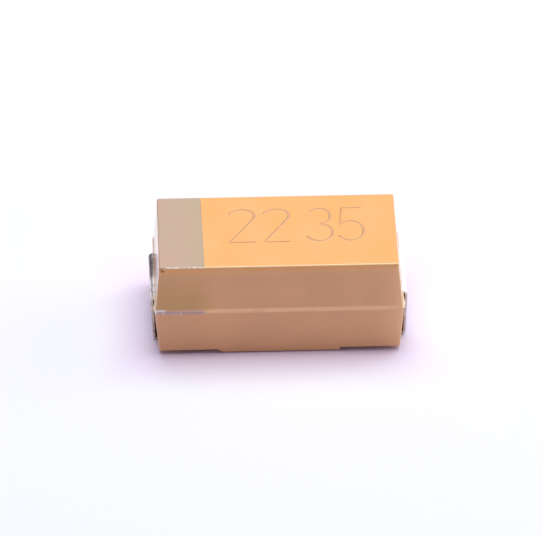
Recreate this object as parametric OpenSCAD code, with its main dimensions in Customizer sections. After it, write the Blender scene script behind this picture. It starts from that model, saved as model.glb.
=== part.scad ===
// Moulded solid tantalum chip capacitor, 7343-31 outline, lying on its two folded terminals.
// X is the long axis with the anode (marked) end at -X, +Z is up, Z = 0 is the board plane.
// Every size is in millimetres.

/* [Overall] */
// Length over the two terminals
overall_l = 7.3; // [7.1:0.05:7.6]
// Width of the moulding over its parting land
body_w = 4.3; // [4.1:0.05:4.6]
// Height of the top face above the board plane
body_h = 2.8; // [2.7:0.05:3.1]

/* [Moulding] */
// How far the top face lies in from the land at each end, before its edge is rounded
top_in_l = 0.15; // [0.1:0.01:0.3]
// How far the top face lies in from the land at each side, before its edge is rounded
top_in_w = 0.18; // [0.12:0.01:0.3]
// How far the base lies in from the land at each end
base_in_l = 0.13; // [0.08:0.01:0.25]
// How far the base lies in from the land at each side
base_in_w = 0.14; // [0.08:0.01:0.25]
// How far the parting plane, which is the top of both lead strips too, lies above half height
parting_rise = 0.05; // [0:0.01:0.1]
// Height of the land round the parting plane
land_h = 0.13; // [0.08:0.01:0.2]
// How far the land leans in from its foot to its top, because the upper half-mould is the smaller
land_lean = 0.04; // [0.01:0.01:0.06]
// Rounding of the edge round the top face
edge_r = 0.04; // [0.02:0.01:0.1]
// Rounding of the edge round the base
base_r = 0.04; // [0.02:0.01:0.08]
// Rounding of the four upright corners
corner_r = 0.13; // [0.06:0.01:0.2]
// Length of the foot recess at the anode end
anode_recess_l = 1.98; // [1.6:0.02:2.2]
// Length of the foot recess at the cathode end
cathode_recess_l = 1.86; // [1.6:0.02:2.2]
// How far the inner wall of the anode recess leans over its full height
anode_ramp = 0.2; // [0.02:0.02:0.3]
// How far the inner wall of the cathode recess leans over its full height
cathode_ramp = 0.06; // [0.02:0.02:0.3]
// Height of the middle of the base, left standing between the recesses, above the board plane
standoff = 0.02; // [0.01:0.01:0.04]

/* [Terminals] */
// Width of both lead strips
lead_w = 2.4; // [2:0.05:2.6]
// Thickness of both lead strips
lead_t = 0.07; // [0.06:0.01:0.12]
// Inside radius of the shoulder bend where a strip leaves the moulding
shoulder_r = 0.055; // [0.02:0.005:0.07]
// Inside radius of the bend at the foot
foot_r = 0.1; // [0.07:0.01:0.14]
// How far the outside leg leans in towards the moulding, from its shoulder to its foot
leg_lean = 0.05; // [0.01:0.01:0.08]
// Length of a foot under the base, from the outermost face of its terminal
foot_l = 1.3; // [1:0.05:1.5]
// Room between the top of a foot and the roof of its recess
foot_clear = 0.06; // [0.02:0.01:0.08]
// Length of the anode strip inside the moulding
anode_tab_l = 0.8; // [0.7:0.02:0.9]
// Level run of the cathode strip from the end of the moulding to its joggle
cathode_run = 0.42; // [0.34:0.02:0.46]
// Inside radius of both joggle bends of the cathode strip
joggle_r = 0.1; // [0.06:0.01:0.12]
// Length of the cathode paddle under the pellet, from its joggle
paddle_l = 2.4; // [1.6:0.1:3.2]

/* [Pellet] */
// Resin between the anode end of the moulding and the sintered pellet
anode_room = 1.58; // [1.4:0.02:1.8]
// Resin and strip between the cathode end of the moulding and the sintered pellet
cathode_room = 0.97; // [0.93:0.01:1.2]
// Distance from the side of the moulding to the side of the sintered pellet
side_room = 0.65; // [0.55:0.01:0.9]
// Resin over the coated pellet
roof_room = 0.28; // [0.26:0.01:0.4]
// Rounding of the four long edges of the pellet
pellet_r = 0.1; // [0.06:0.01:0.2]
// Diameter of the riser wire
wire_d = 0.3; // [0.24:0.01:0.34]
// Length of the riser wire inside the pellet
wire_in = 1.5; // [0.8:0.1:2.5]
// Length of the riser wire that lies on the anode strip
weld_l = 0.42; // [0.3:0.02:0.5]
// How deep the riser wire is pressed into the anode strip at its weld
weld_sink = 0.02; // [0.01:0.005:0.03]
// Diameter of the insulating washer
washer_d = 1.1; // [0.7:0.05:1.4]
// Thickness of the insulating washer
washer_t = 0.16; // [0.1:0.01:0.2]

/* [Coats] */
// Thickness of the manganese dioxide coat
dioxide_t = 0.06; // [0.04:0.01:0.07]
// Thickness of the carbon coat
carbon_t = 0.03; // [0.03:0.01:0.04]
// Thickness of the silver coat
silver_t = 0.05; // [0.03:0.01:0.06]
// How far each outer coat stops short of the one under it at the anode end
coat_step = 0.15; // [0.1:0.01:0.25]
// Thickness of the silver adhesive between the coats and the cathode paddle
glue_t = 0.04; // [0.03:0.01:0.05]
// Length of the silver adhesive
glue_l = 1.9; // [1:0.1:2]
// How far the silver adhesive lies in from each side of the cathode paddle
glue_in = 0.2; // [0.1:0.05:0.6]
// Rounding of the corners of the silver adhesive, which was a dispensed pool
glue_r = 0.35; // [0.2:0.05:0.35]

/* [Polarity band] */
// Length of the band from the anode end of the moulding, at the front of the part
band_front = 1.43; // [1:0.01:1.8]
// Length of the band from the anode end of the moulding, at the back of the part
band_back = 1.39; // [1:0.01:1.8]
// Thickness of the band, let in flush with the top face
band_t = 0.03; // [0.02:0.01:0.04]

/* [Hidden] */
// Length of the moulding over its parting land: both shoulder bends start at its end faces
body_l = overall_l - 2 * (lead_t + shoulder_r);
end_x = body_l / 2;
top_l = body_l - 2 * top_in_l;
top_w = body_w - 2 * top_in_w;
base_l = body_l - 2 * base_in_l;
base_w = body_w - 2 * base_in_w;
parting_z = body_h / 2 + parting_rise;
land_top = parting_z + land_h / 2;
land_low = parting_z - land_h / 2;
recess_z = lead_t + foot_clear;
lead_z = parting_z - lead_t;
// Shoulder bend centre, inner face of the leg and foot bend centre of a terminal at +X
shoulder_z = lead_z - shoulder_r;
leg_x = end_x + shoulder_r;
foot_z = foot_r + lead_t;
foot_x = leg_x - leg_lean - foot_r;
foot_end = overall_l / 2 - foot_l;
// The riser wire rests on the anode strip, and sets the height of the pellet
wire_z = parting_z + wire_d / 2 - weld_sink;
wire_out = anode_room - anode_tab_l + weld_l;
coats_t = dioxide_t + carbon_t + silver_t;
pellet_x0 = -end_x + anode_room;
pellet_x1 = end_x - cathode_room;
pellet_w = body_w - 2 * side_room;
pellet_h = 2 * (body_h - roof_room - coats_t - wire_z);
// The cathode strip drops from the parting plane to below the adhesive
paddle_top = wire_z - pellet_h / 2 - coats_t - glue_t;
joggle_x = end_x - cathode_run;
drop_x = joggle_x - joggle_r - lead_t;
paddle_x = drop_x - joggle_r;
glue_x1 = min(paddle_x, pellet_x1 + coats_t) - 0.08;
glue_w = lead_w - 2 * glue_in;
far = 20;

// ---- shapes shared by several nodes

// Half width, along direction a, of a rectangle l by w with corners of radius r
function reach(l, w, r, a) = (l / 2 - r) * abs(cos(a)) + (w / 2 - r) * abs(sin(a)) + r;

// Points of an edge rounding: centre c, radius r, from angle a0 to a1 in n steps
function rounding(c, r, a0, a1, n) =
  [for (i = [0:n]) let (a = a0 + (a1 - a0) * i / n) [c[0] + r * cos(a), c[1] + r * sin(a)]];

// Right half of the moulding's section along direction a, from the base up to the top
function half_section(a) =
  let (b = reach(base_l, base_w, corner_r, a), t = reach(top_l, top_w, corner_r, a),
       p = reach(body_l, body_w, corner_r, a), u = p - land_lean,
       bd = atan((p - b) / (land_low - standoff)), td = atan((u - t) / (body_h - land_top)),
       bt = base_r * tan((90 - bd) / 2), tt = edge_r * tan((90 - td) / 2))
  concat(rounding([b - bt, standoff + base_r], base_r, -90, -bd, 2),
         [[p, land_low], [u, land_top]],
         rounding([t - tt, body_h - edge_r], edge_r, td, 90, 3));

function mirrored(pts) = [for (i = [len(pts) - 1:-1:0]) [-pts[i][0], pts[i][1]]];

module section_slab(a) {
  rotate([0, 0, a]) rotate([90, 0, 0]) linear_extrude(height = far, center = true)
    polygon(concat(half_section(a), mirrored(half_section(a))));
}

// The moulding as a full block: drafted both ways from its land, every edge softened
module moulding() {
  intersection() {
    section_slab(0);
    section_slab(90);
    section_slab(30);
    section_slab(60);
    section_slab(120);
    section_slab(150);
  }
}

// Where the band lies: the outermost skin of the top face at the anode end. Its inner edge is
// drawn on straight to both sides of the moulding.
module band_place() {
  front_x = -end_x + band_front;
  back_x = -end_x + band_back;
  skew = (front_x - back_x) * body_w / top_w;
  translate([0, 0, body_h - band_t]) linear_extrude(height = 1)
    polygon([[-far, -body_w / 2], [front_x + (skew - front_x + back_x) / 2, -body_w / 2],
             [back_x - (skew - front_x + back_x) / 2, body_w / 2], [-far, body_w / 2]]);
}

// What a foot recess of length l takes off the base at the anode end, right across it. Its inner
// wall leans by ramp.
module foot_recess(l, ramp) {
  rotate([90, 0, 0]) linear_extrude(height = far, center = true)
    polygon([[-far, -1], [-end_x + l, -1], [-end_x + l, 0], [-end_x + l - ramp, recess_z],
             [-far, recess_z]]);
}

// Quarter bend of a lead strip about an axis along Y, inside radius r, from angle a0 on
module bend(x, z, r, a0) {
  translate([x, 0, z]) rotate([90, 0, 0]) rotate([0, 0, a0])
    rotate_extrude(angle = 90, $fn = 64)
      translate([r, -lead_w / 2]) square([lead_t, lead_w]);
}

// Level piece of a lead strip from x0 to x1, its underside at z
module level(x0, x1, z) {
  translate([x0, -lead_w / 2, z]) cube([x1 - x0, lead_w, lead_t]);
}

// The outside of a terminal at +X: shoulder bend, leaning leg, foot bend, foot
module terminal_outside() {
  bend(end_x, shoulder_z, shoulder_r, 0);
  rotate([90, 0, 0]) linear_extrude(height = lead_w, center = true)
    polygon([[leg_x, shoulder_z], [leg_x + lead_t, shoulder_z],
             [leg_x + lead_t - leg_lean, foot_z], [leg_x - leg_lean, foot_z]]);
  bend(foot_x, foot_z, foot_r, -90);
  level(foot_end, foot_x, 0);
}

// A block along X from x0 to x1, w wide, h high about the wire's height, long edges rounded by r
module coat_block(x0, x1, w, h, r) {
  translate([x0, 0, wire_z]) rotate([90, 0, 90]) linear_extrude(height = x1 - x0)
    polygon(concat(rounding([w / 2 - r, h / 2 - r], r, 0, 90, 4),
                   rounding([r - w / 2, h / 2 - r], r, 90, 180, 4),
                   rounding([r - w / 2, r - h / 2], r, 180, 270, 4),
                   rounding([w / 2 - r, r - h / 2], r, 270, 360, 4)));
}

module pellet_block() {
  coat_block(pellet_x0, pellet_x1, pellet_w, pellet_h, pellet_r);
}

module dioxide_block() {
  coat_block(pellet_x0 - dioxide_t, pellet_x1 + dioxide_t, pellet_w + 2 * dioxide_t,
             pellet_h + 2 * dioxide_t, pellet_r + dioxide_t);
}

module carbon_block() {
  t = dioxide_t + carbon_t;
  coat_block(pellet_x0 + coat_step, pellet_x1 + t, pellet_w + 2 * t, pellet_h + 2 * t, pellet_r + t);
}

module silver_block() {
  coat_block(pellet_x0 + 2 * coat_step, pellet_x1 + coats_t, pellet_w + 2 * coats_t,
             pellet_h + 2 * coats_t, pellet_r + coats_t);
}

module wire_rod() {
  translate([pellet_x0 - wire_out, 0, wire_z]) rotate([0, 90, 0])
    cylinder(d = wire_d, h = wire_out + wire_in, $fn = 48);
}

module washer_disc() {
  translate([pellet_x0 - washer_t, 0, wire_z]) rotate([0, 90, 0])
    cylinder(d = washer_d, h = washer_t, $fn = 64);
}

module glue_block() {
  x = glue_l / 2 - glue_r;
  y = glue_w / 2 - glue_r;
  translate([glue_x1 - glue_l / 2, 0, paddle_top]) linear_extrude(height = glue_t)
    polygon(concat(rounding([x, y], glue_r, 0, 90, 6), rounding([-x, y], glue_r, 90, 180, 6),
                   rounding([-x, -y], glue_r, 180, 270, 6), rounding([x, -y], glue_r, 270, 360, 6)));
}

module anode_strip() {
  mirror([1, 0, 0]) terminal_outside();
  level(-end_x, -end_x + anode_tab_l, lead_z);
}

module cathode_strip() {
  terminal_outside();
  level(joggle_x, end_x, lead_z);
  bend(joggle_x, lead_z - joggle_r, joggle_r, 90);
  translate([drop_x, -lead_w / 2, paddle_top + joggle_r])
    cube([lead_t, lead_w, lead_z - paddle_top - 2 * joggle_r]);
  bend(paddle_x, paddle_top + joggle_r, joggle_r, 270);
  level(paddle_x - paddle_l, paddle_x, paddle_top - lead_t);
}

// ---- nodes

// Transfer-moulded epoxy, solid round everything that is inside it
module moulded_case() {
  color("#E8A766")
  difference() {
    moulding();
    // The two recesses under the ends, for the feet
    foot_recess(anode_recess_l, anode_ramp);
    mirror([1, 0, 0]) foot_recess(cathode_recess_l, cathode_ramp);
    band_place();
    anode_strip();
    cathode_strip();
    wire_rod();
    washer_disc();
    dioxide_block();
    carbon_block();
    silver_block();
    glue_block();
  }
}

// One strip: level tab inside, folded down the end and under the base
module anode_terminal() {
  color("#B9B7B2")
  difference() {
    anode_strip();
    wire_rod();
  }
}

// One strip: paddle under the pellet, joggle up to the parting plane, then folded like the anode's
module cathode_terminal() {
  color("#B9B7B2") cathode_strip();
}

// Pale marked film at the anode end, flush with the top face
module polarity_band() {
  color("#CDB69C")
  intersection() {
    moulding();
    band_place();
  }
}

// Pressed and sintered tantalum, grown round the end of its wire
module tantalum_pellet() {
  color("#4C4C50")
  difference() {
    pellet_block();
    wire_rod();
  }
}

module riser_wire() {
  color("#8E9196") wire_rod();
}

// Disc that keeps the coats off the wire
module insulating_washer() {
  color("#F2F2EE")
  difference() {
    washer_disc();
    wire_rod();
  }
}

// Closed round the pellet but for the washer's place
module manganese_dioxide_coat() {
  color("#26221F")
  difference() {
    dioxide_block();
    pellet_block();
    washer_disc();
  }
}

module carbon_coat() {
  color("#161616")
  difference() {
    carbon_block();
    dioxide_block();
  }
}

module silver_coat() {
  color("#A9ABAE")
  difference() {
    silver_block();
    carbon_block();
    dioxide_block();
  }
}

module silver_adhesive() {
  color("#9B9890") glue_block();
}

moulded_case();
anode_terminal();
cathode_terminal();
polarity_band();
tantalum_pellet();
riser_wire();
insulating_washer();
manganese_dioxide_coat();
carbon_coat();
silver_coat();
silver_adhesive();
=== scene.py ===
import math

import bmesh
import bpy
from mathutils import Matrix, Vector, noise


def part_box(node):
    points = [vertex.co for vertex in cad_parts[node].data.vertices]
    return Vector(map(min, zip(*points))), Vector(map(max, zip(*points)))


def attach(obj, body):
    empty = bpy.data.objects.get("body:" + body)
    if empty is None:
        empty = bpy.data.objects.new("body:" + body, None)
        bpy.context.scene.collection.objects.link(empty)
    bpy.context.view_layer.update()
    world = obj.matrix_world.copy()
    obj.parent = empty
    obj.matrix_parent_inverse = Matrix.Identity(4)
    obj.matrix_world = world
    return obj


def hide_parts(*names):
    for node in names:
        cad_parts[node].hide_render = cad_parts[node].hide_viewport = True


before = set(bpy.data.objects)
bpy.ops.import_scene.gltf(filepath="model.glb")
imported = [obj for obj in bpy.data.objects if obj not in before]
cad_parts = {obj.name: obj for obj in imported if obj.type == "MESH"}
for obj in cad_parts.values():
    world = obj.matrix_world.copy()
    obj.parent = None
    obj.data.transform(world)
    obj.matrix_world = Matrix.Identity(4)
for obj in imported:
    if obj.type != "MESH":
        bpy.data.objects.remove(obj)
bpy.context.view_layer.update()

# ---- The moulding
# One block of silica-filled epoxy, transfer moulded round everything else. The two half-moulds meet
# half way up, in a land that the resin squeezes out of, and draw away from it both ways, so every
# wall leans. The base has a recess under each end for a foot.

# Sizes are in millimetres. The outline, the parting plane and the leads come from the frame
MM = 0.001
case_lo, case_hi = (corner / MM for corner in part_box("moulded_case"))
tab_lo, tab_hi = (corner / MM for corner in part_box("anode_terminal"))
land_l, land_w = case_hi.x - case_lo.x, case_hi.y - case_lo.y
base_z, top_z = case_lo.z, case_hi.z
lead_w = tab_hi.y - tab_lo.y
parting_z = tab_hi.z

# How far the walls draw in from the land, to the top and to the base, and the radii of the corners
top_in_l, top_in_w = 0.15, 0.17
base_in_l, base_in_w = 0.13, 0.14
top_l, top_w = land_l - 2 * top_in_l, land_w - 2 * top_in_w
base_l, base_w = land_l - 2 * base_in_l, land_w - 2 * base_in_w
corner_r, edge_r = 0.06, 0.035
base_edge_r = edge_r + 0.01

# The land: its half height, lean and waviness, and how far its flash reaches out
land_half = 0.065
land_low, land_top = parting_z - land_half, parting_z + land_half
land_lean = 0.04
land_cuts = 90
land_wave = 0.008
flash_t = 0.016
flash_least = 0.006
flash_side = 0.010
flash_front, flash_back = 0.065, 0.008

# The recesses: the height of their roof, and for each its length at the base and its wall's lean
recess_z = 0.13
anode_recess_l, anode_ramp = 1.98, 0.20
cathode_recess_l, cathode_ramp = 1.86, 0.06
recess_edge_r = 0.02

# A cutter reaches to this x, is this wide, and stands this far above or below the moulding
past_l, past_w, past_h = 5, 6, 0.5
same = 1e-4


def bevel(bm, edges, offset, segments):
    """Rounds the edges of a mesh."""
    bmesh.ops.bevel(bm, geom=edges, offset=offset, segments=segments, profile=0.5,
                    affect="EDGES", material=-1, clamp_overlap=True)


def edges_where(bm, test):
    """The edges of a mesh whose two ends both pass a test."""
    return [e for e in bm.edges if all(test(v.co) for v in e.verts)]


def draw_out(bm, face):
    """Extrudes a face, not moved yet, and leaves no wall inside. Gives the new face."""
    joined = any(len(e.link_faces) > 1 for e in face.edges)
    new = bmesh.ops.extrude_face_region(bm, geom=[face])["geom"]
    if joined:
        bmesh.ops.delete(bm, geom=[face], context="FACES_ONLY")
    return next(g for g in new if isinstance(g, bmesh.types.BMFace))


def lift(bm, face, z, inset_l, inset_w):
    """Draws a face up to height z, lying in from the land by so much all round. Gives the new face."""
    top = draw_out(bm, face)
    now_l = 2 * max(v.co.x for v in top.verts)
    now_w = 2 * max(v.co.y for v in top.verts)
    length, width = land_l - 2 * inset_l, land_w - 2 * inset_w
    for v in top.verts:
        v.co = Vector((v.co.x * length / now_l, v.co.y * width / now_w, z))
    return top


def flash(place):
    """How far the flash reaches out at a place on the parting line. It is widest beside a lead."""
    ragged = 0.5 + 0.6 * noise.noise(place * 3) + 0.3 * noise.noise(place * 13)
    if abs(place.x) < land_l / 2 - 0.05:
        return flash_side * max(ragged, 0)
    from_lead = abs(place.y) - lead_w / 2
    if from_lead < 0:
        return 0
    widest = flash_front if place.y < 0 else flash_back
    return widest * min(from_lead / 0.1, 1) * max(0.2 + ragged, 0.1)


def is_land(place):
    """Whether a place is on the land or on the lines that bound it."""
    return land_low - 0.01 < place.z < land_top + 0.01


def outward(place):
    """The level way out of the wall that a place on the land belongs to."""
    share = Vector((place.x / land_l, place.y / land_w, 0))
    if abs(share.x) > abs(share.y):
        return Vector((math.copysign(1, share.x), 0, 0))
    return Vector((0, math.copysign(1, share.y), 0))


def moulding_block():
    """The moulding before its recesses, in millimetres, with a ragged land and softened edges."""
    bm = bmesh.new()
    bmesh.ops.create_grid(bm, x_segments=1, y_segments=1, size=0.5)
    bmesh.ops.scale(bm, vec=(base_l, base_w, 1), verts=bm.verts)
    bmesh.ops.translate(bm, vec=(0, 0, base_z), verts=bm.verts)
    bmesh.ops.bevel(bm, geom=bm.verts[:], offset=corner_r, segments=6, profile=0.5,
                    affect="VERTICES", material=-1)
    bm.faces.ensure_lookup_table()
    face = lift(bm, bm.faces[0], land_low, 0, 0)
    for z in (parting_z - flash_t / 2, parting_z, parting_z + flash_t / 2, land_top):
        inset = land_lean * (z - land_low) / (land_top - land_low)
        face = lift(bm, face, z, inset, inset)
    lift(bm, face, top_z, (land_l - top_l) / 2, (land_w - top_w) / 2)
    bmesh.ops.recalc_face_normals(bm, faces=bm.faces)
    long_edges = [e for e in edges_where(bm, is_land) if e.calc_length() > 1]
    bmesh.ops.subdivide_edges(bm, edges=long_edges, cuts=land_cuts)
    for v in bm.verts:
        if not is_land(v.co):
            continue
        rough = 0.5 * noise.noise(v.co * 1.6) + 0.5 * noise.noise(v.co * 5)
        if abs(v.co.z - parting_z) < 1e-3:
            v.co += outward(v.co) * (flash(v.co) + flash_least)
        v.co.z += land_wave * rough
    bevel(bm, edges_where(bm, lambda p: abs(p.z - top_z) < same), edge_r, 4)
    bevel(bm, edges_where(bm, lambda p: abs(p.z - base_z) < same), base_edge_r, 4)
    return bm


def object_in_mm(bm, name, finishes):
    """Makes a bmesh into a linked object, still in millimetres."""
    mesh = bpy.data.meshes.new(name)
    bm.to_mesh(mesh)
    bm.free()
    for finish in finishes:
        mesh.materials.append(finish)
    piece = bpy.data.objects.new(name, mesh)
    bpy.context.scene.collection.objects.link(piece)
    return piece


def settle(piece):
    """Turns what the piece's modifiers make of its mesh into its mesh."""
    graph = bpy.context.evaluated_depsgraph_get()
    piece.data = bpy.data.meshes.new_from_object(piece.evaluated_get(graph))
    piece.modifiers.clear()


def cut_away(piece, cutter):
    """Takes a cutter's space out of a piece. What the cut bares gets the cutter's finish."""
    cut = piece.modifiers.new("cut", "BOOLEAN")
    cut.operation = "DIFFERENCE"
    cut.solver = "EXACT"
    cut.use_self = True
    cut.material_mode = "TRANSFER"
    cut.object = cutter
    settle(piece)
    bpy.data.objects.remove(cutter)


def wedge(name, z_low, z_high, x_out, inner_x, finish):
    """A block right across the moulding, from x_out to where inner_x puts its inner face."""
    bm = bmesh.new()
    bmesh.ops.create_cube(bm, size=1)
    for v in bm.verts:
        inner = v.co.x * x_out < 0
        place = Vector((0, v.co.y * past_w, z_high if v.co.z > 0 else z_low))
        place.x = inner_x(place) if inner else x_out
        v.co = place
    bmesh.ops.recalc_face_normals(bm, faces=bm.faces)
    return object_in_mm(bm, name, [finish])


def finish_mesh(piece, smooth_deg):
    """Shades a piece smooth between its flats, and takes it from millimetres to metres."""
    piece.data.shade_smooth()
    piece.data.set_sharp_from_angle(angle=math.radians(smooth_deg))
    even = piece.modifiers.new("even", "WEIGHTED_NORMAL")
    even.mode = "FACE_AREA"
    even.weight = 100
    even.keep_sharp = True
    settle(piece)
    piece.data.transform(Matrix.Scale(MM, 4))


def new_finish(name, colour, roughness, metallic=0.0, specular=0.5):
    """A material with one surface shader. Gives the material and the shader."""
    finish = bpy.data.materials.new(name)
    finish.use_nodes = True
    shader = finish.node_tree.nodes["Principled BSDF"]
    shader.inputs["Base Color"].default_value = (*colour, 1)
    shader.inputs["Roughness"].default_value = roughness
    shader.inputs["Metallic"].default_value = metallic
    shader.inputs["Specular IOR Level"].default_value = specular
    return finish, shader


def add(finish, kind, inputs, **settings):
    """Adds a node to a finish. An input is a number, a colour or another node's output."""
    node = finish.node_tree.nodes.new("ShaderNode" + kind)
    for name, value in settings.items():
        setattr(node, name, value)
    for key, value in inputs.items():
        if isinstance(value, bpy.types.NodeSocket):
            finish.node_tree.links.new(value, node.inputs[key])
        else:
            node.inputs[key].default_value = value
    return node


def join(finish, source, shader, name):
    """Leads a node's output into an input of the shader, or of another node."""
    finish.node_tree.links.new(source, shader.inputs[name])


def place_on(finish):
    """The place on the part, in millimetres, as a vector and as its three parts."""
    coords = add(finish, "TexCoord", {})
    in_mm = add(finish, "Mapping", {"Vector": coords.outputs["Object"], "Scale": (1000, 1000, 1000)})
    parts = add(finish, "SeparateXYZ", {"Vector": in_mm.outputs["Vector"]})
    return in_mm.outputs["Vector"], parts.outputs


def clouds(finish, place, per_mm, detail=2.0, roughness=0.5):
    """Noise with so many blotches to a millimetre, from 0 to 1."""
    return add(finish, "TexNoise", {"Vector": place, "Scale": per_mm, "Detail": detail,
                                    "Roughness": roughness}).outputs["Fac"]


def fade(finish, value, start, end):
    """0 where a value is at start and 1 where it is at end, smooth between."""
    return add(finish, "MapRange", {"Value": value, "From Min": start, "From Max": end},
               interpolation_type="SMOOTHSTEP").outputs["Result"]


def both(finish, one, other):
    """The product of two amounts, so both have to be there."""
    return add(finish, "Math", {0: one, 1: other}, operation="MULTIPLY").outputs[0]


def tint(finish, amount, under, over):
    """Colour over laid on colour under, by so much."""
    mix = add(finish, "Mix", {"Factor": amount}, data_type="RGBA")
    for socket, colour in ((mix.inputs[6], under), (mix.inputs[7], over)):
        if isinstance(colour, bpy.types.NodeSocket):
            finish.node_tree.links.new(colour, socket)
        else:
            socket.default_value = (*colour, 1)
    return mix.outputs[2]


def relief(finish, shader, heights):
    """Bumps, each given as a height from 0 to 1 and its depth in millimetres."""
    normal = None
    for height, depth in heights:
        bump = add(finish, "Bump", {"Height": height, "Strength": 1.0, "Distance": depth * MM})
        if normal is not None:
            join(finish, normal, bump, "Normal")
        normal = bump.outputs["Normal"]
    join(finish, normal, shader, "Normal")


resin_colour = (0.86, 0.415, 0.112)
resin_wall_shade = (0.78, 0.43, 0.20)
resin_pale = (0.91, 0.50, 0.21)
resin_grain = (0.70, 0.36, 0.13)
resin_painted_light = (0.98, 0.50, 0.17)
resin_end_painted_light = (0.98, 0.56, 0.26)
resin_end_painted_reflection = (0.98, 0.60, 0.30)
resin_olive = (0.66, 0.38, 0.14)
land_painted_highlight = (0.97, 0.60, 0.30)
edge_painted_highlight = (0.98, 0.72, 0.40)
bruise_dark = (0.30, 0.10, 0.04)
flash_pale = (0.80, 0.68, 0.52)
ink_lilac = (0.50, 0.34, 0.36)
chip_and_highlight_white = (0.92, 0.86, 0.80)
front_tint_x = -2.02


def moulded_skin(finish, place, axes, walls):
    """Blotched resin, with the walls tinted in painted shade, painted light under the top edge, and painted
    light and reflection towards the cathode end.
    """
    x, _, z = axes
    # Painted shade: the walls get a shaded copy of the resin colour
    colour = tint(finish, walls, resin_colour, resin_wall_shade)
    blotch = fade(finish, clouds(finish, place, 0.8, 3), 0.35, 0.75)
    colour = tint(finish, both(finish, blotch, 0.35), colour, resin_pale)
    grains = fade(finish, clouds(finish, place, 24, 1), 0.62, 0.8)
    colour = tint(finish, both(finish, grains, 0.25), colour, resin_grain)
    # Painted light: the walls are lighter just under the top edge
    painted_light_under_edge = both(finish, fade(finish, z, top_z - 0.34, top_z - 0.06), walls)
    colour = tint(finish, both(finish, painted_light_under_edge, 0.5), colour, resin_painted_light)
    # Painted light and a painted reflection: the walls grow paler towards the cathode end, on the lit side
    painted_light_near_end = both(finish, fade(finish, x, 2.5, 3.55), walls)
    colour = tint(finish, both(finish, painted_light_near_end, 0.6), colour, resin_end_painted_light)
    return tint(finish, both(finish, fade(finish, x, 3.2, 3.55), walls), colour, resin_end_painted_reflection)


def land_highlight_and_flash(finish, place, axes, colour):
    """The land has a painted highlight in patches, and the flash on it is so thin that it is nearly white.
    """
    x, _, z = axes
    on_land = both(finish, fade(finish, z, land_low - 0.015, land_low + 0.03),
                   fade(finish, z, land_top + 0.015, land_top - 0.02))
    # Painted highlight on the land, in patches
    painted_highlight = fade(finish, clouds(finish, place, 1.6, 2), 0.0, 0.5)
    colour = tint(finish, both(finish, on_land, painted_highlight), colour, land_painted_highlight)
    from_middle = add(finish, "Math", {0: x}, operation="ABSOLUTE").outputs[0]
    thin = fade(finish, from_middle, land_l / 2 - 0.06, land_l / 2 + 0.01)
    return tint(finish, both(finish, on_land, thin), colour, flash_pale)


def olive_wall_tint(finish, axes, walls, colour):
    """The front wall under the band is tinted olive-brown, more strongly towards the land."""
    x, y, z = axes
    near_band = both(finish, fade(finish, x, front_tint_x + 0.35, front_tint_x - 0.45),
                     fade(finish, y, -1.9, -1.99))
    upper = both(finish, walls, fade(finish, z, parting_z, land_top + 0.02))
    depth = fade(finish, z, top_z + 0.3, land_top)
    return tint(finish, both(finish, both(finish, near_band, upper), depth), colour, resin_olive)


def top_edge_highlight_and_bruise(finish, axes, colour):
    """The front edge of the top has a painted highlight, and it is bruised dark at one place on the band.
    """
    x, y, z = axes
    # Painted highlight along the front edge of the top
    painted_highlight = both(finish, fade(finish, z, top_z - 0.035, top_z - 0.020), fade(finish, y, -1.93, -1.955))
    colour = tint(finish, both(finish, painted_highlight, 0.8), colour, edge_painted_highlight)
    bruise = both(finish, fade(finish, x, -3.345, -3.315), fade(finish, x, -3.215, -3.245))
    bruise = both(finish, bruise, fade(finish, z, top_z - 0.14, top_z - 0.12))
    bruise = both(finish, bruise, fade(finish, y, -1.93, -1.95))
    hollow = both(finish, fade(finish, x, -3.295, -3.275), fade(finish, z, top_z - 0.09, top_z - 0.07))
    hollow = add(finish, "Math", {0: 1.0, 1: hollow}, operation="SUBTRACT").outputs[0]
    return tint(finish, both(finish, both(finish, bruise, hollow), 0.85), colour, bruise_dark)


def inked_land_and_highlight(finish, place, axes, colour):
    """Band ink ran along the lower half of the front land at the anode end, and is chipped there. A painted
    highlight runs white along its upper half at the far end.
    """
    x, y, z = axes
    run_end = add(finish, "Math", {0: clouds(finish, place, 9, 1), 1: 0.14, 2: front_tint_x - 0.07},
                  operation="MULTIPLY_ADD").outputs[0]
    inked = both(finish, fade(finish, x, run_end, -2.2), fade(finish, y, -2.0, -2.04))
    lower = both(finish, fade(finish, z, land_low - 0.02, land_low + 0.01),
                 fade(finish, z, land_top - 0.02, parting_z))
    colour = tint(finish, both(finish, both(finish, inked, lower), 0.8), colour, ink_lilac)
    # Painted highlight: a white line along the upper half of the land at the anode end; the chips below are
    # wear
    line = both(finish, fade(finish, z, parting_z - 0.005, parting_z + 0.02),
                fade(finish, z, land_top + 0.01, land_top - 0.02))
    line = both(finish, line, fade(finish, x, -3.15, -3.30))
    chips_and_highlight = fade(finish, clouds(finish, place, 6, 3, 0.7), 0.57, 0.62)
    chips_and_highlight = add(finish, "Math", {0: both(finish, chips_and_highlight, both(finish, inked, lower)),
                                 1: both(finish, inked, line)}, operation="MAXIMUM").outputs[0]
    return tint(finish, chips_and_highlight, colour, chip_and_highlight_white)


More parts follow.
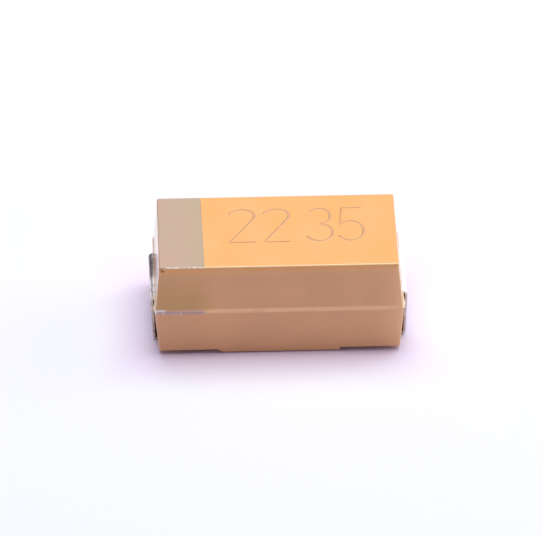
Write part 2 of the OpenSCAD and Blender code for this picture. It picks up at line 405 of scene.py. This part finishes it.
def epoxy_finish():
    """Matte epoxy skin, with its wear, ink and olive tint, and painted light and shade. The end walls and
    the worn top edge are glossier.
    """
    finish, shader = new_finish("filled_epoxy", resin_colour, 0.48, specular=0.4)
    shader.inputs["Coat Roughness"].default_value = 0.16
    place, axes = place_on(finish)
    z = axes[2]
    walls = fade(finish, z, top_z - 0.03, top_z - 0.20)
    colour = moulded_skin(finish, place, axes, walls)
    colour = land_highlight_and_flash(finish, place, axes, colour)
    colour = olive_wall_tint(finish, axes, walls, colour)
    colour = top_edge_highlight_and_bruise(finish, axes, colour)
    colour = inked_land_and_highlight(finish, place, axes, colour)
    join(finish, colour, shader, "Base Color")

    facing = add(finish, "NewGeometry", {}).outputs["Normal"]
    endways = add(finish, "SeparateXYZ", {"Vector": facing}).outputs["X"]
    endways = add(finish, "Math", {0: endways}, operation="ABSOLUTE").outputs[0]
    endways = both(finish, fade(finish, endways, 0.8, 0.95), walls)
    gloss = add(finish, "Math", {0: endways, 1: 0.65, 2: 0.35}, operation="MULTIPLY_ADD").outputs[0]
    join(finish, gloss, shader, "Coat Weight")
    uneven = add(finish, "MapRange", {"Value": clouds(finish, place, 3, 4, 0.6), "From Min": 0.3,
                                      "From Max": 0.7, "To Min": 0.42, "To Max": 0.56})
    edge = both(finish, fade(finish, z, top_z - 0.05, top_z - 0.03), fade(finish, z, top_z, top_z - 0.003))
    worn = add(finish, "Mix", {"Factor": edge, "A": uneven.outputs["Result"], "B": 0.22})
    worn = add(finish, "Mix", {"Factor": endways, "A": worn.outputs["Result"], "B": 0.25})
    join(finish, worn.outputs["Result"], shader, "Roughness")
    relief(finish, shader, ((clouds(finish, place, 0.7, 2), 0.010),
                            (clouds(finish, place, 30, 2), 0.0012)))
    return finish


epoxy = epoxy_finish()
case = object_in_mm(moulding_block(), "epoxy_moulding", [epoxy])


def under_end(name, out_x, wall_x, ramp):
    """The room of a recess. Its inner wall is at wall_x at z 0 and has come back by ramp at the roof."""
    def inner_x(place):
        return wall_x - ramp * place.z / recess_z
    return wedge(name, -past_h, recess_z, out_x, inner_x, epoxy)


cut_away(case, under_end("anode_room", -past_l, case_lo.x + anode_recess_l, anode_ramp))
cut_away(case, under_end("cathode_room", past_l, case_hi.x - cathode_recess_l, -cathode_ramp))

# The edges round the recesses are softened, once they are clean
bm = bmesh.new()
bm.from_mesh(case.data)
bmesh.ops.remove_doubles(bm, verts=bm.verts, dist=same)
rim = [e for e in bm.edges if len(e.link_faces) == 2 and e.calc_face_angle() > math.radians(25)
       and all(v.co.z < recess_z + 1e-3 for v in e.verts) and e.calc_length() > 0.2]
bevel(bm, rim, recess_edge_r, 3)
bm.to_mesh(case.data)
bm.free()

# ---- The marking
# Plain figures for the value and the voltage, burnt a few hundredths deep into the resin of the top
# by a laser, so it is no piece of its own. The strokes are greyer than the skin.

figure_h, figure_w = 1.84, 0.74
stroke_r, stroke_sink = 0.042, 0.020
figures_y = -0.62
figures_x = (("2", -1.36), ("2", -0.38), ("3", 0.86), ("5", 1.74))
burnt_colour = (0.55, 0.34, 0.19)
burnt_light, stroke_painted_shade = (0.76, 0.45, 0.25), (0.30, 0.18, 0.10)


def burnt_finish():
    """Epoxy where a laser has marked it: greyer, with painted shade down one side of each stroke."""
    finish, shader = new_finish("laser_mark", burnt_colour, 0.7, specular=0.2)
    place = place_on(finish)[0]
    facing = add(finish, "NewGeometry", {}).outputs["Normal"]
    side = add(finish, "VectorMath", {0: facing, 1: (0.8, 0.6, 0)}, operation="DOT_PRODUCT")
    # Painted shade: the stroke walls facing right and back are darker, in patches
    painted_shade = fade(finish, side.outputs["Value"], 0.1, 0.5)
    patchy_painted_shade = both(finish, painted_shade, fade(finish, clouds(finish, place, 6, 2), 0.2, 0.5))
    join(finish, tint(finish, patchy_painted_shade, burnt_light, stroke_painted_shade), shader, "Base Color")
    return finish


laser = burnt_finish()


def arc(centre, radii, start, stop, steps=14):
    """Points round part of an ellipse, from one angle to the other, in degrees."""
    turns = [math.radians(start + (stop - start) * i / steps) for i in range(steps + 1)]
    return [(centre[0] + radii[0] * math.cos(a), centre[1] + radii[1] * math.sin(a)) for a in turns]


def figure_stroke(figure):
    """The line that draws a figure, from its lower left corner."""
    w, h = figure_w, figure_h
    if figure == "2":
        return arc((w / 2, h - w / 2), (w / 2, w / 2), 165, -35) + [(0, 0), (w, 0)]
    if figure == "3":
        upper = arc((0.36, 0.76 * h), (0.31, 0.24 * h), 150, -90)
        return upper + arc((0.34, 0.26 * h), (0.38, 0.26 * h), 90, -155)[1:]
    return [(0.68, h), (0.12, h)] + arc((0.34, 0.3 * h), (0.38, 0.3 * h), 142, -152)


def figure_cutter(figures):
    """Round rods along the strokes of all the figures, lying mostly above the top face."""
    rods = bpy.data.curves.new("strokes", "CURVE")
    rods.dimensions = "3D"
    rods.bevel_depth = stroke_r
    rods.bevel_resolution = 3
    rods.use_fill_caps = True
    for figure, left in figures:
        points = figure_stroke(figure)
        line = rods.splines.new("POLY")
        line.points.add(len(points) - 1)
        for point, (x, y) in zip(line.points, points):
            point.co = (left + x, figures_y + y, top_z + stroke_r - stroke_sink, 1)
    made = bpy.data.objects.new("strokes", rods)
    bpy.context.scene.collection.objects.link(made)
    graph = bpy.context.evaluated_depsgraph_get()
    bm = bmesh.new()
    bm.from_mesh(bpy.data.meshes.new_from_object(made.evaluated_get(graph)))
    bmesh.ops.remove_doubles(bm, verts=bm.verts, dist=1e-5)
    bmesh.ops.recalc_face_normals(bm, faces=bm.faces)
    bpy.data.objects.remove(made)
    return object_in_mm(bm, "marking_room", [laser])


cut_away(case, figure_cutter(figures_x))

# ---- The polarity band
# A thin pale film of ink over the top at the anode end, printed and baked on. It lies flush with the
# resin round it, and its inner edge is a little out of square.

film_t = 0.03
film_l_front, film_l_back = 1.43, 1.39
film_front = Vector((case_lo.x + film_l_front, -top_w / 2, 0))
film_back = Vector((case_lo.x + film_l_back, top_w / 2, 0))
film_along = (film_back - film_front).normalized()
film_out = Vector((film_along.y, -film_along.x, 0))
film_colour = (0.53, 0.38, 0.28)
film_pink, film_grey = (0.535, 0.36, 0.262), (0.495, 0.37, 0.258)
film_right = (0.465, 0.372, 0.24)
film_grain = (0.38, 0.29, 0.22)
film_seam = (0.36, 0.28, 0.17)
film_rim = (0.84, 0.73, 0.62)


def film_edge_x(place):
    """Where the inner edge of the band lies, at the y of a place."""
    return film_front.x + film_along.x / film_along.y * (place.y - film_front.y)


def film_finish():
    """Thin grey-beige ink, pinker to the left and chipped white along its front rim."""
    finish, shader = new_finish("band_ink", film_colour, 0.5, specular=0.4)
    place, (x, y, _) = place_on(finish)
    cloud = fade(finish, clouds(finish, place, 1.1, 3), 0.35, 0.7)
    colour = tint(finish, cloud, film_pink, film_grey)
    right = both(finish, fade(finish, x, -2.9, -2.2), 0.55)
    colour = tint(finish, right, colour, film_right)
    grains = fade(finish, clouds(finish, place, 20, 2), 0.55, 0.75)
    colour = tint(finish, both(finish, grains, 0.2), colour, film_grain)
    from_edge = add(finish, "VectorMath", {0: place, 1: film_out}, operation="DOT_PRODUCT").outputs["Value"]
    seam = film_front.dot(film_out)
    at_seam = fade(finish, from_edge, seam - 0.035, seam - 0.005)
    colour = tint(finish, both(finish, at_seam, 0.5), colour, film_seam)
    wander = add(finish, "Math", {0: clouds(finish, place, 7, 3, 0.7), 1: 0.22, 2: 0.0},
                 operation="MULTIPLY_ADD").outputs[0]
    rim = add(finish, "Math", {0: y, 1: wander}, operation="ADD").outputs[0]
    rim = fade(finish, rim, -top_w / 2 + 0.155, -top_w / 2 + 0.125)
    broken = fade(finish, clouds(finish, place, 12, 3, 0.7), 0.36, 0.52)
    rim = both(finish, rim, add(finish, "Math", {0: broken, 1: 0.65, 2: 0.35},
                                operation="MULTIPLY_ADD").outputs[0])
    colour = tint(finish, both(finish, rim, fade(finish, x, -3.25, -3.1)), colour, film_rim)
    join(finish, colour, shader, "Base Color")
    relief(finish, shader, ((clouds(finish, place, 0.9, 2), 0.008),
                            (clouds(finish, place, 26, 2), 0.0012)))
    return finish


# The film has the outer shape of the moulding, cut off below its thickness and at its inner edge
ink = film_finish()
bm = moulding_block()
for where, facing in ((Vector((0, 0, top_z - film_t)), Vector((0, 0, -1))), (film_front, film_out)):
    cut = bmesh.ops.bisect_plane(bm, geom=bm.verts[:] + bm.edges[:] + bm.faces[:], plane_co=where,
                                 plane_no=facing, clear_outer=True)
    rim = [g for g in cut["geom_cut"] if isinstance(g, bmesh.types.BMEdge)]
    bmesh.ops.edgenet_fill(bm, edges=rim)
bmesh.ops.recalc_face_normals(bm, faces=bm.faces)
film = object_in_mm(bm, "band_film", [ink])
finish_mesh(film, 35)
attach(film, "root")
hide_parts("polarity_band")

cut_away(case, wedge("film_room", top_z - film_t, top_z + past_h, -past_l, film_edge_x, epoxy))
finish_mesh(case, 35)
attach(case, "root")
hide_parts("moulded_case")

# ---- The terminals
# Two strips sheared from a tinned lead frame, one at each end. Each leaves the moulding at the
# parting plane and is folded down the end and under into its recess. Inside, the anode's is a short
# level tab, and the cathode's is joggled down to a paddle under the pellet.

lead_t = 0.07
lead_edge_r = 0.010
shoulder_r, foot_r, joggle_r = 0.055, 0.10, 0.10
leg_lean = 0.05
foot_l = 1.3
tab_l = 0.8
cathode_run = 0.42
paddle_l = 2.4
askew = 0.025
end_x = case_hi.x
paddle_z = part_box("silver_adhesive")[0].z / MM
tin_colour = (0.72, 0.69, 0.67)
tin_light, tin_dull = (0.66, 0.61, 0.54), (0.54, 0.50, 0.44)
tin_painted_highlight = (0.95, 0.94, 0.94)
anode_painted_shade, tarnish_fleck = (0.20, 0.15, 0.15), (0.42, 0.30, 0.31)
sheared_edge, bare_alloy = (0.60, 0.48, 0.40), (0.30, 0.20, 0.17)


def strip_section(x, top):
    """The cut end of a strip at x, facing +X, its upper side at height top."""
    bm = bmesh.new()
    bmesh.ops.create_grid(bm, x_segments=1, y_segments=1, size=0.5)
    bmesh.ops.scale(bm, vec=(lead_t, lead_w, 1), verts=bm.verts)
    bmesh.ops.bevel(bm, geom=bm.verts[:], offset=lead_edge_r, segments=3, profile=0.5,
                    affect="VERTICES", material=-1)
    bmesh.ops.rotate(bm, verts=bm.verts, matrix=Matrix.Rotation(math.radians(90), 3, "Y"))
    bmesh.ops.translate(bm, verts=bm.verts, vec=(x, 0, top - lead_t / 2))
    bm.faces.ensure_lookup_table()
    return bm, bm.faces[0]


def run(bm, face, by):
    """Draws the strip's end face along straight. Gives the new end face."""
    face = draw_out(bm, face)
    bmesh.ops.translate(bm, vec=by, verts=face.verts[:])
    return face


def fold(bm, face, centre, degrees, steps=10):
    """Bends the strip round an axis along Y. Gives the new end face."""
    turn = Matrix.Rotation(math.radians(degrees / steps), 3, "Y")
    for _ in range(steps):
        face = draw_out(bm, face)
        bmesh.ops.rotate(bm, cent=centre, matrix=turn, verts=face.verts[:])
    return face


def fold_outside(bm, face):
    """Shoulder, leaning leg, foot bend and foot, from the end wall of the moulding on."""
    shoulder_z = parting_z - lead_t - shoulder_r
    foot_z = foot_r + lead_t
    face = fold(bm, face, (end_x, 0, shoulder_z), 90)
    face = run(bm, face, (-leg_lean, 0, foot_z - shoulder_z))
    foot_x = end_x + shoulder_r - leg_lean - foot_r
    face = fold(bm, face, (foot_x, 0, foot_z), 90)
    run(bm, face, (end_x + shoulder_r + lead_t - foot_l - foot_x, 0, 0))


def tin_finish():
    """Satin tin plate, with a painted highlight on the shoulders. The anode's shoulder has painted shade in
    blotches, with a few flecks, and the sheared edges show streaks of the bare alloy."""
    finish, shader = new_finish("tin_plate", tin_colour, 0.34, metallic=1.0)
    place, (x, y, z) = place_on(finish)
    cloud = fade(finish, clouds(finish, place, 2.5, 4, 0.6), 0.35, 0.7)
    colour = tint(finish, cloud, tin_light, tin_dull)
    # Painted highlight: the shoulders are near white
    shoulder = fade(finish, z, parting_z - 0.22, parting_z - 0.08)
    colour = tint(finish, both(finish, shoulder, 0.9), colour, tin_painted_highlight)
    # Painted shade: the anode's shoulder is dark, in blotches
    anode_end = both(finish, fade(finish, x, -3.3, -3.5), shoulder)
    anode_shade_amount = both(finish, anode_end, fade(finish, y, -0.5, 0.2))
    blotch = fade(finish, clouds(finish, place, 6, 3, 0.7), 0.3, 0.6)
    anode_shade_amount = both(finish, anode_shade_amount, add(finish, "Math", {0: blotch, 1: 0.4, 2: 0.6},
                                operation="MULTIPLY_ADD").outputs[0])
    colour = tint(finish, anode_shade_amount, colour, anode_painted_shade)
    flecks = both(finish, fade(finish, y, -0.45, -0.6), anode_end)
    flecks = both(finish, flecks, fade(finish, clouds(finish, place, 9, 3, 0.7), 0.50, 0.56))
    colour = tint(finish, flecks, colour, tarnish_fleck)
    edge = add(finish, "Math", {0: y}, operation="ABSOLUTE").outputs[0]
    edge = fade(finish, edge, lead_w / 2 - 0.012, lead_w / 2 - 0.004)
    colour = tint(finish, both(finish, edge, 0.6), colour, sheared_edge)
    specks = fade(finish, clouds(finish, place, 14, 3, 0.7), 0.56, 0.62)
    colour = tint(finish, both(finish, edge, specks), colour, bare_alloy)
    join(finish, colour, shader, "Base Color")
    dull = add(finish, "MapRange", {"Value": clouds(finish, place, 8, 4, 0.6), "From Min": 0.3,
                                    "From Max": 0.7, "To Min": 0.30, "To Max": 0.48})
    join(finish, dull.outputs["Result"], shader, "Roughness")
    relief(finish, shader, ((clouds(finish, place, 3, 2), 0.003),
                            (clouds(finish, place, 40, 2), 0.0008)))
    return finish


tin = tin_finish()

# The anode's strip is drawn as the other end's is, and mirrored. Its outside stands a little askew
bm, face = strip_section(end_x - tab_l, parting_z)
fold_outside(bm, run(bm, face, (tab_l, 0, 0)))
bmesh.ops.scale(bm, vec=(-1, 1, 1), verts=bm.verts)
for v in bm.verts:
    if v.co.x < -end_x - same:
        v.co.x += askew * (0.5 - v.co.y / lead_w)
bmesh.ops.recalc_face_normals(bm, faces=bm.faces)
anode = object_in_mm(bm, "anode_strip", [tin])

# The cathode's strip is drawn from the far end of its paddle, up the joggle and out at the end
joggle_x = end_x - cathode_run
paddle_x = joggle_x - 2 * joggle_r - lead_t
bm, face = strip_section(paddle_x - paddle_l, paddle_z)
face = run(bm, face, (paddle_l, 0, 0))
face = fold(bm, face, (paddle_x, 0, paddle_z + joggle_r), -90)
face = run(bm, face, (0, 0, parting_z - lead_t - paddle_z - 2 * joggle_r))
face = fold(bm, face, (joggle_x, 0, parting_z - lead_t - joggle_r), 90)
fold_outside(bm, run(bm, face, (cathode_run, 0, 0)))
bmesh.ops.recalc_face_normals(bm, faces=bm.faces)
cathode = object_in_mm(bm, "cathode_strip", [tin])

for piece, node_name in ((anode, "anode_terminal"), (cathode, "cathode_terminal")):
    finish_mesh(piece, 30)
    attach(piece, "root")
    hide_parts(node_name)

# ---- The anode pellet, its wire and the washer
# Tantalum powder pressed round the end of a drawn tantalum wire and sintered into a porous dark
# slug. A PTFE washer on the wire keeps the coats off it, and the wire is welded to the anode strip.


def grainy_finish(name, colour, darker, per_mm, roughness, metallic, pit_mm):
    """A surface of two close colours in grains, with fine pits. Roughness varies a little too."""
    finish, shader = new_finish(name, colour, roughness, metallic=metallic)
    place = place_on(finish)[0]
    grain = clouds(finish, place, per_mm, 3, 0.6)
    join(finish, tint(finish, fade(finish, grain, 0.35, 0.7), colour, darker), shader, "Base Color")
    spread = add(finish, "MapRange", {"Value": grain, "From Min": 0.3, "From Max": 0.7,
                                      "To Min": roughness - 0.08, "To Max": roughness + 0.08})
    join(finish, spread.outputs["Result"], shader, "Roughness")
    relief(finish, shader, ((grain, pit_mm),))
    return finish


def coat_node(node_name, finish):
    """Gives a piece that lies inside the moulding its finish, on its own mesh."""
    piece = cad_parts[node_name]
    for slot in piece.material_slots:
        slot.material = finish


coat_node("tantalum_pellet", grainy_finish("sintered_powder", (0.16, 0.15, 0.16), (0.07, 0.07, 0.08),
                                           30, 0.75, 0.4, 0.006))
coat_node("riser_wire", grainy_finish("drawn_wire", (0.42, 0.42, 0.45), (0.32, 0.32, 0.35),
                                      12, 0.38, 1.0, 0.001))
coat_node("insulating_washer", grainy_finish("white_ptfe", (0.86, 0.86, 0.84), (0.78, 0.78, 0.76),
                                             6, 0.50, 0.0, 0.001))

# ---- The coats and the adhesive
# The cathode side of the pellet: baked manganese dioxide, then dipped carbon, then silver paint.
# Silver-filled epoxy, dispensed on the paddle, holds the coated pellet and cures under it.

coat_node("manganese_dioxide_coat", grainy_finish("baked_dioxide", (0.035, 0.03, 0.03),
                                                  (0.06, 0.055, 0.06), 20, 0.60, 0.0, 0.004))
coat_node("carbon_coat", grainy_finish("dried_graphite", (0.045, 0.045, 0.05), (0.02, 0.02, 0.02),
                                       14, 0.50, 0.0, 0.002))
coat_node("silver_coat", grainy_finish("silver_paint", (0.66, 0.65, 0.62), (0.52, 0.51, 0.49),
                                       10, 0.42, 0.9, 0.002))
coat_node("silver_adhesive", grainy_finish("filled_adhesive", (0.60, 0.59, 0.56), (0.44, 0.43, 0.41),
                                           18, 0.55, 0.8, 0.003))

# ---- The floor, the light and the camera
# The part lies on a white table, in a bright room with a darker side to the left. A large softbox
# hangs overhead and a small one stands to the right. The table and the room look brighter to the
# camera, and in shiny faces, than they light the part.

floor_half = 200
floor_colour = (0.93, 0.95, 0.99)
floor_far, floor_shadow_tint = (0.865, 0.89, 0.925), (0.89, 0.81, 1.0)
floor_cast = (0.80, 0.72, 0.86)
room_left, room_right = (0.22, 0.19, 0.21), (0.985, 0.99, 1.0)
room_cast, room_cast_strength = (0.92, 0.85, 1.06, 1), 0.28


def is_seen(tree):
    """1 for what the camera or a shiny face sees, and 0 for what only gives light."""
    path = add(tree, "LightPath", {})
    return add(tree, "Math", {0: path.outputs["Is Camera Ray"], 1: path.outputs["Is Glossy Ray"]},
               operation="MAXIMUM").outputs[0]


bm = bmesh.new()
bmesh.ops.create_grid(bm, x_segments=1, y_segments=1, size=floor_half)
floor_finish, floor_shader = new_finish("white_table", floor_colour, 0.9, specular=0.2)
floor = object_in_mm(bm, "floor", [floor_finish])
floor.data.transform(Matrix.Scale(MM, 4))

# Painted shadow tint: the table is more lilac close round the part
axes = place_on(floor_finish)[1]
gaps = []
for part, half in ((axes[0], land_l / 2), (axes[1], land_w / 2)):
    across = add(floor_finish, "Math", {0: part}, operation="ABSOLUTE").outputs[0]
    gaps.append(add(floor_finish, "Math", {0: across, 1: half}, operation="SUBTRACT").outputs[0])
far_off = add(floor_finish, "Math", {0: gaps[0], 1: gaps[1], 2: 0.8}, operation="SMOOTH_MAX").outputs[0]
shadow_tint_amount = fade(floor_finish, far_off, 2.2, -0.2)
shown = tint(floor_finish, shadow_tint_amount, floor_far, floor_shadow_tint)
join(floor_finish, tint(floor_finish, is_seen(floor_finish), floor_cast, shown), floor_shader, "Base Color")

world = bpy.data.worlds.new("soft_room")
world.use_nodes = True
way = add(world, "SeparateXYZ", {"Vector": add(world, "TexCoord", {}).outputs["Generated"]})
side = fade(world, way.outputs["X"], -0.55, 0.0)
bright = add(world, "Background", {"Color": tint(world, side, room_left, room_right), "Strength": 1.0})
dim = add(world, "Background", {"Color": room_cast, "Strength": room_cast_strength})
mix = add(world, "MixShader", {0: is_seen(world), 1: dim.outputs[0], 2: bright.outputs[0]})
join(world, mix.outputs[0], world.node_tree.nodes["World Output"], "Surface")
bpy.context.scene.world = world


def softbox(name, place, size, energy):
    """A square lamp that faces the part."""
    lamp_data = bpy.data.lights.new(name, "AREA")
    lamp_data.size = size
    lamp_data.energy = energy
    lamp = bpy.data.objects.new(name, lamp_data)
    lamp.location = place
    lamp.rotation_euler = Vector(place).to_track_quat("Z", "Y").to_euler()
    bpy.context.scene.collection.objects.link(lamp)


softbox("overhead", (0.012, 0.035, 0.16), 0.15, 0.285)
softbox("from_the_right", (0.14, 0.05, 0.07), 0.10, 0.045)

# The camera stands well back and looks down at the front, a little from the anode end
elevation, turn, roll = math.radians(30.34), math.radians(1.34), math.radians(0.47)
distance = 0.2393
target = Vector((0, 0, 0.0013))
off_right, off_up = -0.182 * MM, 0.238 * MM
ahead = Vector((math.sin(turn) * math.cos(elevation), math.cos(turn) * math.cos(elevation),
                -math.sin(elevation)))
right = Vector((math.cos(turn), -math.sin(turn), 0))
up = right.cross(ahead)
cam_right = math.cos(roll) * right - math.sin(roll) * up
cam_up = math.sin(roll) * right + math.cos(roll) * up
place = target - distance * ahead + off_right * cam_right + off_up * cam_up
cam_data = bpy.data.cameras.new("camera")
cam_data.sensor_width = 36
cam_data.lens = 559
cam_data.clip_start, cam_data.clip_end = 0.01, 2
camera = bpy.data.objects.new("camera", cam_data)
camera.matrix_world = Matrix((
    (cam_right.x, cam_up.x, -ahead.x, place.x),
    (cam_right.y, cam_up.y, -ahead.y, place.y),
    (cam_right.z, cam_up.z, -ahead.z, place.z),
    (0, 0, 0, 1)))
bpy.context.scene.collection.objects.link(camera)
bpy.context.scene.camera = camera
bpy.context.scene.view_settings.view_transform = "Standard"
